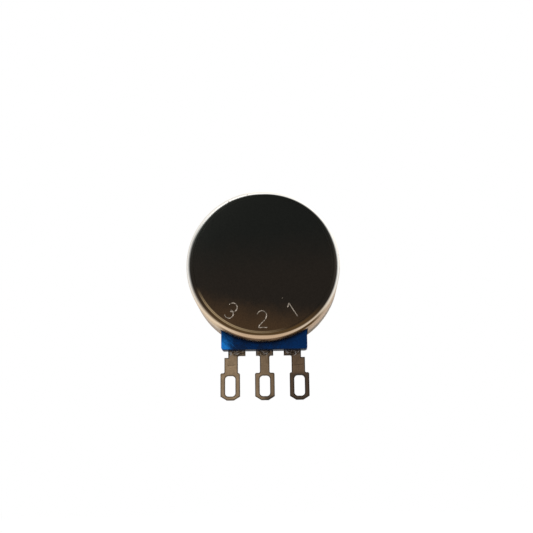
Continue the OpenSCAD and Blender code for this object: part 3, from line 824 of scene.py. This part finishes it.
@dataclass
class Workshop:
    """What every sub-assembly needs: the loaded nodes and the finishes."""

    nodes: dict[str, Piece]
    effects: Effects = field(default_factory=Effects)
    materials: dict[str, Material] = field(default_factory=dict)
    weld: float = 0.0005
    flat_angle: float = 0.5
    edge_angle: float = 40.0

    def finish(self, slot: str) -> Material:
        """Return the material of a slot, built on first use."""
        if slot not in self.materials:
            self.materials[slot] = FINISHES[slot].build(self.effects)
        return self.materials[slot]

    def keep(self, name: str, slot: str, width: float) -> None:
        """Keep a node's solid, round its edges and give it a finish.

        Args:
            name: The node.
            slot: Its material slot.
            width: Most that the rounding is wide, in millimetres.
        """
        piece = self.nodes[name]
        weld = piece.modifiers.new("Joined corners", "WELD")
        weld.merge_threshold = self.weld * MM
        plane = piece.modifiers.new("Whole flats", "DECIMATE")
        plane.decimate_type = "DISSOLVE"
        plane.angle_limit = math.radians(self.flat_angle)
        bevel(piece, width, self.edge_angle)
        even = piece.modifiers.new("Even shading", "WEIGHTED_NORMAL")
        even.keep_sharp = True
        dress(piece, self.finish(slot))
        log.info("%s keeps its solid, finished as %s", name, slot)

    def replace(self, piece: Piece, name: str, slot: str, body: str) -> None:
        """Let a new piece stand for a node.

        Args:
            piece: The new piece.
            name: The node.
            slot: Its material slot; not used.
            body: The body that it rides on.
        """
        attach(piece, body)
        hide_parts(name)
        log.info("%s stands for %s, %d faces", piece.name, name, len(piece.data.polygons))


@dataclass(frozen=True)
class Numeral:
    """One struck number: its strokes, its place on the rear face and its turn."""

    x: float
    z: float
    turn: float
    strokes: tuple[tuple[Point, ...], ...]

    def paths(self, y: float) -> list[list[Vector]]:
        """Return the strokes as paths on the rear face."""
        turn = math.radians(self.turn)
        across = Vector((math.cos(turn), 0, math.sin(turn)))
        up = Vector((-math.sin(turn), 0, math.cos(turn)))
        origin = Vector((self.x, y, self.z))
        return [[origin + across * u + up * v for u, v in stroke] for stroke in self.strokes]


@dataclass
class Case:
    """The drawn cover: stepped rear face, window over the terminal block and four crimp tabs."""

    shop: Workshop
    steps: int = 288
    outer_r: float = 12.0
    sheet: float = 0.45
    rear: float = -9.9
    front: float = -1.6
    face_r: float = 10.8
    step: float = 0.12
    step_r: float = 0.06
    inner_setback: float = 0.1
    corner: float = 1.1
    edge_round: float = 0.05
    smooth_angle: float = 28.0
    window_half: float = 6.85
    window_rear: float = -7.1
    window_foot: float = -14.0
    tab_angles: tuple[float, ...] = (35.0, 145.0, 215.0, 325.0)
    tab_half: float = 1.6
    tab_reach: float = 2.1
    tab_overlap: float = 0.05
    tab_steps: int = 8
    tab_round: float = 0.06
    fold_r: float = 0.55
    inner_fold_r: float = 0.1
    lip_r: float = 0.12
    lip_front: float = -0.15
    groove_r: float = 0.095
    groove_lift: float = 0.045
    numeral_steps: int = 22
    nicks: tuple[tuple[float, float, float, float], ...] = (
        (-5.32, -9.755, 10.22, 0.19),
        (-4.81, -9.76, 10.47, 0.17),
        (-2.36, -9.755, 11.28, 0.19),
        (2.97, -10.0, -5.54, 0.125),
    )

    def profile(self) -> list[Point]:
        """Return the wall's section, outside first."""
        shoulder = self.rear + self.step
        centre = (self.outer_r - self.corner, shoulder + self.corner)
        points = [(0.0, self.rear), (self.face_r * 0.5, self.rear)]
        points += arc((self.face_r - self.step_r, self.rear + self.step_r), self.step_r, -90, 0, 5)
        points += arc((self.face_r + self.step_r, shoulder - self.step_r), self.step_r, 180, 90, 5)
        points += arc(centre, self.corner, -90, 0, 20)
        points += [(self.outer_r, self.front), (self.outer_r - self.sheet, self.front)]
        points += arc(centre, self.corner - self.sheet, 0, -90, 12)
        inside = self.rear + self.sheet
        return points + [(self.face_r - self.inner_setback, inside), (0.0, inside)]

    def tab(self, angle: float) -> Mesh:
        """Return one crimp tab, folded inward over the plate's rim."""
        inner_r = self.outer_r - self.sheet
        back = self.lip_front - self.sheet
        reach = self.outer_r - self.tab_reach + self.lip_r
        foot = self.front - self.tab_overlap
        fold, inner_fold, lip = self.fold_r, self.inner_fold_r, self.lip_r
        section = [(self.outer_r, foot)]
        section += arc((self.outer_r - fold, self.lip_front - fold), fold, 0, 90, 8)
        section += arc((reach, self.lip_front - lip), lip, 90, 180, 4)
        section += arc((reach, back + lip), lip, 180, 270, 4)
        section += arc((inner_r - inner_fold, back - inner_fold), inner_fold, 90, 0, 4)
        section.append((inner_r, foot))
        turn = Matrix.Rotation(-math.radians(angle), 3, "Y")
        mesh = bmesh.new()
        rows = []
        for i in range(self.tab_steps + 1):
            side = self.tab_half * (2 * i / self.tab_steps - 1)
            places = [Vector((math.sqrt(radius**2 - side**2), y, side)) for radius, y in section]
            rows.append([mesh.verts.new(turn @ place) for place in places])
        join_rings(mesh, rows)
        close_ends(mesh, rows)
        return mesh

    def numerals(self) -> list[Numeral]:
        """Return the three numbers struck beside the solder lugs."""
        upper = arc((0.0, 0.58), 0.7, 168, -94, self.numeral_steps)
        lower = arc((0.0, -0.57), 0.67, 96, -140, self.numeral_steps)
        three = Numeral(-4.99, -7.40, -30.0, (tuple(upper), tuple(lower)))
        bow = arc((-0.1, 0.6), 0.73, 165, -28, 18)
        neck = [(0.42, 0.0), (0.1, -0.33), (-0.28, -0.7), (-0.52, -1.0), (-0.62, -1.25)]
        two = Numeral(-0.13, -8.82, 0.0, (tuple(bow + neck), ((-0.68, -1.27), (0.7, -1.27))))
        one = Numeral(4.6, -7.38, 32.0, (((-0.52, 0.78), (-0.04, 1.2)), ((0.0, 1.28), (0.0, -1.25))))
        return [three, two, one]

    def mark(self, cover: Piece) -> None:
        """Cut the numbers' grooves, the rolled corner's nicks and the rear face's pit."""
        for index, numeral in enumerate(self.numerals()):
            for path in numeral.paths(self.rear - self.groove_lift):
                strike(cover, f"struck_{index}", tube(path, self.groove_r))
        for x, y, z, radius in self.nicks:
            ball = bmesh.new()
            bmesh.ops.create_icosphere(ball, subdivisions=3, radius=radius)
            bmesh.ops.translate(ball, vec=(x, y, z), verts=ball.verts)
            strike(cover, "nick", ball)

    def build(self) -> None:
        """Build the cover and its tabs, and let the cover stand for its node."""
        cover = make_object("case_shell", revolve(self.profile(), self.steps))
        half, foot = self.window_half, self.window_foot
        outline = [(-half, foot), (half, foot), (half, 0.0), (-half, 0.0)]
        cut(cover, make_object("window", prism(outline, self.window_rear, CUT_MARGIN)))
        bevel(cover, self.edge_round)
        settle(cover)
        dress(cover, self.shop.finish("cover_nickel"), self.shop.finish("cover_nickel_struck"))
        self.mark(cover)
        for index, angle in enumerate(self.tab_angles):
            tab = make_object(f"case_tab_{index + 1}", self.tab(angle))
            bevel(tab, self.tab_round)
            settle(tab)
            smooth(tab)
            dress(tab, self.shop.finish("cover_nickel"))
            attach(tab, "housing")
        smooth(cover, self.smooth_angle)
        self.shop.replace(cover, "rear_cover", "cover_nickel", "housing")


@dataclass
class Bushing:
    """The turned bushing with its real thread."""

    shop: Workshop
    steps: int = 120
    steps_per_pitch: int = 12
    crest_r: float = 4.5
    root_r: float = 4.06
    bore_r: float = 3.03
    length: float = 8.0
    seat: float = -0.1
    collar_r: float = 4.48
    collar_end: float = 0.12
    groove_start: float = 0.14
    relief: float = 0.7
    pitch: float = 0.75
    chamfer: float = 0.5
    edge: float = 0.15
    neck_r: float = 4.0
    plate: float = 1.0
    swage_r: float = 5.2
    swage_t: float = 0.6
    root_half: float = 0.1125
    flank: float = 0.2875
    smooth_angle: float = 24.0

    def radius(self, y: float, turn: float) -> float:
        """Return the thread's radius at a depth and an angle."""
        share = (y / self.pitch - turn / (2 * math.pi)) % 1.0
        rise = min(1.0, max(0.0, min(share, 1.0 - share) - self.root_half) / self.flank)
        thread = self.root_r + (self.crest_r - self.root_r) * rise
        return min(thread, self.crest_r - self.chamfer + max(0.0, self.length - y))

    def thread(self) -> Mesh:
        """Return the outside in front of the plate, with its thread and front end."""
        mesh = bmesh.new()
        rows = range(-self.steps_per_pitch - 1, int(self.length / self.pitch * self.steps_per_pitch) + 2)
        columns = []
        for i in range(self.steps + 1):
            turn = 2 * math.pi * i / self.steps
            column = [(self.seat, self.collar_r), (self.collar_end, self.collar_r)]
            column.append((self.groove_start, self.root_r))
            for k in rows:
                y = (k / self.steps_per_pitch + turn / (2 * math.pi)) * self.pitch
                y = min(max(y, self.relief), self.length)
                column.append((y, self.radius(y, turn)))
            column.append((self.length, self.bore_r + self.edge))
            column.append((self.length - self.edge, self.bore_r))
            direction = Vector((math.cos(turn), 0, math.sin(turn)))
            columns.append([mesh.verts.new(direction * r + Vector((0, y, 0))) for y, r in column])
        for first, second in zip(columns, columns[1:]):
            for k in range(len(first) - 1):
                corners = (first[k], second[k], second[k + 1], first[k + 1])
                if len({tuple(round(c, 6) for c in v.co) for v in corners}) > 2:
                    mesh.faces.new(corners)
        return mesh

    def section(self) -> list[Point]:
        """Return the section of the bore, the swaged head and the neck in the plate."""
        rear = -self.plate - self.swage_t
        return [
            (self.bore_r, self.length - self.edge),
            (self.bore_r, rear),
            (self.swage_r - self.edge, rear),
            (self.swage_r, rear + self.edge),
            (self.swage_r, -self.plate),
            (self.neck_r, -self.plate),
            (self.neck_r, self.seat),
            (self.collar_r, self.seat),
        ]

    def build(self) -> None:
        """Build the bushing and let it stand for its node."""
        piece = make_object("threaded_bushing", revolve(self.section(), self.steps, self.thread()))
        smooth(piece, self.smooth_angle)
        dress(piece, self.shop.finish("bushing_nickel"))
        self.shop.replace(piece, "bushing", "bushing_nickel", "housing")


@dataclass
class KeptPieces:
    """The pieces whose solids have their real shape and only need a finish."""

    shop: Workshop
    pieces: tuple[tuple[str, str, float], ...] = (
        ("front_plate", "plate_nickel", 0.06),
        ("shaft", "shaft_steel", 0.06),
        ("retaining_ring", "ring_steel", 0.06),
        ("ring_washer", "washer_steel", 0.04),
        ("thrust_washer", "washer_nylon", 0.04),
        ("rotor", "rotor_plastic", 0.08),
        ("wiper_spring", "spring_bronze", 0.02),
        ("wiper_contacts", "contact_metal", 0.03),
        ("element_board", "board_laminate", 0.04),
        ("resistive_track", "carbon_ink", 0.01),
        ("end_electrodes", "silver_ink", 0.01),
        ("collector_track", "silver_ink", 0.01),
        ("eyelet_1", "eyelet_brass", 0.08),
        ("eyelet_2", "eyelet_brass", 0.08),
        ("eyelet_3", "eyelet_brass", 0.08),
    )

    def build(self) -> None:
        """Finish each piece."""
        for name, slot, width in self.pieces:
            self.shop.keep(name, slot, width)


@dataclass
class SolderLug:
    """One stamped solder lug, with coined edges, a rounded slot and struck chevrons at its root."""

    shop: Workshop
    number: int
    side: int
    rear: float = -5.45
    front: float = -4.95
    root_pitch: float = 4.35
    root_w: float = 2.7
    root_top: float = 7.65
    root_clip: float = 0.6
    root_end: float = 13.8
    jog_end: float = 14.1
    neck_jog: float = 0.9
    middle_neck_w: float = 1.5
    outer_neck_w: float = 2.1
    head_jog: float = 1.05
    head_w: float = 3.04
    head_top: float = 16.5
    head_end: float = 20.12
    head_clip: float = 0.15
    tip: float = 20.72
    tip_w: float = 1.1
    slot_w: float = 1.62
    slot_top: float = 16.92
    slot_r: float = 0.55
    eyelet_drop: float = 9.0
    eyelet_r: float = 0.8
    coin: float = 0.15
    coin_drop: float = 0.08
    fillet_r: float = 0.22
    tight_root_r: float = 0.1
    tight_head_r: float = 0.12
    crease: float = 15.27
    mark_r: float = 0.08
    mark_lift: float = 0.035
    crease_lift: float = 0.066
    corner_gap: float = 0.001
    facing: float = 0.99
    smooth_angle: float = 25.0

    def _edge(self, root: float, neck: float, head: float, tip: float, start: float) -> list[Point]:
        """Return one side of the lug from the root down to its tip, with rounded inner corners.

        Args:
            root: Place of the root's side.
            neck: Place of the neck's side.
            head: Place of the head's side.
            tip: Place of the tip's side.
            start: Where the root ends, as a distance below the axis.

        Returns:
            The points of the side.
        """
        out = 1.0 if head > neck else -1.0
        inward = 1.0 if root > neck else -1.0
        points = [(root, -start)]
        if inward == out:
            r = self.fillet_r if abs(root - neck) > 2 * self.fillet_r else self.tight_root_r
            points += arc((neck + inward * r, -start - r), r, 90, 180 if inward > 0 else 0, 6)
        else:
            points.append((neck, -start))
        r = self.fillet_r if abs(head - neck) > 1.5 * self.fillet_r else self.tight_head_r
        turn = (180, 270) if out > 0 else (0, -90)
        points += arc((neck + out * r, -self.head_top + r), r, *turn, 6)
        points += [(head - out * self.head_clip, -self.head_top), (head, -self.head_top - self.head_clip)]
        points += [(head, -self.head_end), (tip, -self.tip)]
        return points

    def outline(self) -> list[Point]:
        """Return the lug's outline, drawn for the right-hand side and mirrored for the left."""
        outer = self.side != 0
        root = self.root_pitch if outer else 0.0
        neck = root + self.neck_jog if outer else 0.0
        head = root + self.head_jog if outer else 0.0
        half_root, half_head, half_tip = self.root_w / 2, self.head_w / 2, self.tip_w / 2
        half_neck = (self.outer_neck_w if outer else self.middle_neck_w) / 2
        end = self.root_end
        left = self._edge(root - half_root, neck - half_neck, head - half_head, head - half_tip, end)
        start = self.jog_end if outer else end
        right = self._edge(root + half_root, neck + half_neck, head + half_head, head + half_tip, start)
        shoulder = -self.root_top - self.root_clip
        cap = [
            (root + half_root, shoulder),
            (root + half_root - self.root_clip, -self.root_top),
            (root - half_root + self.root_clip, -self.root_top),
            (root - half_root, shoulder),
        ]
        return [(x * (self.side or 1), z) for x, z in cap + left + right[::-1]]

    def slot(self) -> list[Point]:
        """Return the outline of the wire slot."""
        x = self.side * (self.root_pitch + self.head_jog)
        across = self.slot_w / 2 - self.slot_r
        top, bottom = -self.slot_top - self.slot_r, -self.head_end + self.slot_r
        corners = ((across, top, 0), (-across, top, 90), (-across, bottom, 180), (across, bottom, 270))
        points: list[Point] = []
        for dx, z, turn in corners:
            points += arc((x + dx, z), self.slot_r, turn, turn + 90, 8)
        return points

    def coin_edges(self, lug: Piece) -> None:
        """Press the edges of both faces down into a narrow slope all round, which takes the darker tin as
        painted shade.
        """
        mesh = bmesh.new()
        mesh.from_mesh(lug.data)
        bmesh.ops.remove_doubles(mesh, verts=mesh.verts, dist=self.corner_gap * MM)
        mesh.normal_update()
        for out in (-1.0, 1.0):
            flats = [face for face in mesh.faces if face.normal.y * out > self.facing]
            rim = {vert for face in flats for vert in face.verts}
            rings = bmesh.ops.inset_region(
                mesh, faces=flats, thickness=self.coin * MM, use_boundary=True, use_even_offset=True
            )
            # The slopes take the darker tin: painted shade.
            for face in rings["faces"]:
                face.material_index = 1
            inner = {vert for face in flats for vert in face.verts}
            for vert in rim - inner:
                vert.co.y -= out * self.coin_drop * MM
            mesh.normal_update()
        mesh.to_mesh(lug.data)
        mesh.free()
        lug.data.update()

    def marks(self) -> list[tuple[float, list[Point]]]:
        """Return the lines struck in the rear face: chevrons at the root, a crease in an outer neck.

        Returns:
            The lift of each line's tool from the face, and the line.
        """
        root = self.side * self.root_pitch
        lines = [
            (self.mark_lift, [(root - 1.0, -13.0), (root - 0.1, -13.42), (root + 0.9, -12.98)]),
            (self.mark_lift, [(root - 0.55, -13.5), (root + 0.05, -13.72), (root + 0.7, -13.35)]),
        ]
        if self.side:
            neck, z = self.side * (self.root_pitch + self.neck_jog), -self.crease
            crease = [(neck - 0.55, z - 0.05), (neck + 0.1, z), (neck + 0.8, z + 0.04)]
            lines.append((self.crease_lift, crease))
        return lines

    def build(self) -> None:
        """Build the lug and let it stand for its node."""
        lug = make_object(f"solder_lug_{self.number}", prism(self.outline(), self.rear, self.front))
        dress(lug, self.shop.finish("lug_tin"), self.shop.finish("lug_tin_edge_shade"))
        hole = arc((self.side * self.root_pitch, -self.eyelet_drop), self.eyelet_r, 0, 352.5, 47)
        for name, outline in (("wire_slot", self.slot()), ("eyelet_hole", hole)):
            cutter = prism(outline, self.rear - CUT_MARGIN, self.front + CUT_MARGIN)
            cut(lug, make_object(name, cutter))
        self.coin_edges(lug)
        for lift, line in self.marks():
            path = [Vector((x, self.rear - lift, z)) for x, z in line]
            # The struck lines take the darker tin: painted shade in them.
            strike(lug, "mark", tube(path, self.mark_r, 8))
        smooth(lug, self.smooth_angle)
        self.shop.replace(lug, f"terminal_{self.number}", "lug_tin", "housing")


@dataclass
class Terminals:
    """The blue terminal base and the three solder lugs."""

    shop: Workshop
    block_round: float = 0.16
    sides: tuple[int, ...] = (1, 0, -1)

    def build(self) -> None:
        """Finish the base and build the lugs."""
        self.shop.keep("terminal_base", "base_plastic", self.block_round)
        for index, side in enumerate(self.sides):
            SolderLug(self.shop, index + 1, side).build()


@dataclass(frozen=True)
class Lamp:
    """A square soft lamp: its place and side in millimetres and its power in watts."""

    name: str
    place: Place
    side: float
    power: float

    def build(self) -> None:
        """Add the lamp to the scene, pointing at the part."""
        data = bpy.data.lights.new(self.name, "AREA")
        data.size = self.side * MM
        data.energy = self.power
        lamp = add_object(self.name, data)
        lamp.location = Vector(self.place) * MM
        lamp.rotation_euler = (-Vector(self.place)).to_track_quat("-Z", "Y").to_euler()


@dataclass
class Studio:
    """Camera, lamps, pale floor and white background."""

    aim: Place = (0.0, -8.68, 0.0)
    look: Place = (-0.029, 0.9732, 0.2283)
    distance: float = 145.0
    roll: float = 0.6
    pixels_focal: float = 926.0
    off_centre: Point = (-3.5, -1.5)
    floor_z: float = -48.0
    floor_size: float = 1500.0
    ambient: float = 0.62
    sensor: float = 36.0
    clip: Point = (0.005, 50.0)
    lamps: tuple[Lamp, ...] = (
        Lamp("key", (-350.0, -420.0, 420.0), 420.0, 2.2),
        Lamp("fill", (420.0, -300.0, 160.0), 360.0, 0.8),
        Lamp("front", (150.0, 480.0, 320.0), 420.0, 1.6),
    )

    def camera(self) -> None:
        """Place the camera as in the photograph."""
        data = bpy.data.cameras.new("Camera")
        data.sensor_width = self.sensor
        data.lens = self.sensor * self.pixels_focal / IMAGE_SIDE
        data.shift_x = -self.off_centre[0] / IMAGE_SIDE
        data.shift_y = self.off_centre[1] / IMAGE_SIDE
        data.clip_start, data.clip_end = self.clip
        look = Vector(self.look).normalized()
        level = look.cross(Vector((0, 0, 1))).normalized()
        upright = level.cross(look)
        turn = math.radians(self.roll)
        right = level * math.cos(turn) - upright * math.sin(turn)
        up = level * math.sin(turn) + upright * math.cos(turn)
        place = (Vector(self.aim) - look * self.distance) * MM
        rows = [(*axis, 0.0) for axis in (right, up, -look)]
        camera = add_object("Camera", data)
        camera.matrix_world = Matrix.Translation(place) @ Matrix((*rows, (0, 0, 0, 1))).transposed()
        bpy.context.scene.camera = camera

    @staticmethod
    def seen(graph: Graph) -> Socket:
        """Return 1 for rays from the camera, reflections and glass, and 0 for light on surfaces."""
        path = graph.node("LightPath")
        direct = graph.math("MAXIMUM", path.outputs["Is Camera Ray"], path.outputs["Is Glossy Ray"])
        return graph.math("MAXIMUM", direct, path.outputs["Is Transmission Ray"])

    def world(self) -> None:
        """Light the object evenly, in front of a white background."""
        world = bpy.data.worlds.new("Studio")
        bpy.context.scene.world = world
        world.use_nodes = True
        graph = Graph(world.node_tree)
        strength = graph.math("MULTIPLY_ADD", self.seen(graph), 1.0 - self.ambient, self.ambient)
        graph.feed(world.node_tree.nodes["Background"], Color=(1.0, 1.0, 1.0), Strength=strength)

    def floor(self) -> None:
        """Lay a pale floor well below the part."""
        mesh = bmesh.new()
        bmesh.ops.create_grid(mesh, x_segments=2, y_segments=2, size=self.floor_size)
        bmesh.ops.translate(mesh, vec=(0, 0, self.floor_z), verts=mesh.verts)
        floor = make_object("floor", mesh)
        skin = Skin("studio_floor")
        skin.wear(Base_Color=(0.93, 0.93, 0.92), Roughness=0.9)
        glow = skin.node("Emission")
        blend = skin.node("MixShader")
        x, y, _ = skin.split(skin.point)
        share = skin.span(skin.length(x, y), 90.0, 330.0, 0.6, 1.0)
        sources = (skin.times(self.seen(skin), share), skin.shader.outputs[0], glow.outputs[0])
        for source, socket in zip(sources, blend.inputs):
            skin.plug(source, socket)
        skin.plug(blend.outputs[0], skin.tree.nodes["Material Output"].inputs["Surface"])
        dress(floor, skin.material)

    def build(self) -> None:
        """Set up camera and light."""
        bpy.context.scene.view_settings.view_transform = "Standard"
        self.camera()
        self.world()
        self.floor()
        for lamp in self.lamps:
            lamp.build()


def main() -> None:
    """Load the frame, build each sub-assembly and set up the studio."""
    logging.basicConfig(level=logging.INFO, format="%(name)s: %(message)s")
    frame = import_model()
    shop = Workshop(frame["nodes"])
    for assembly in (Case(shop), Bushing(shop), KeptPieces(shop), Terminals(shop), Studio()):
        assembly.build()
        log.info("%s is built", type(assembly).__name__)


if __name__ == "__main__":
    main()
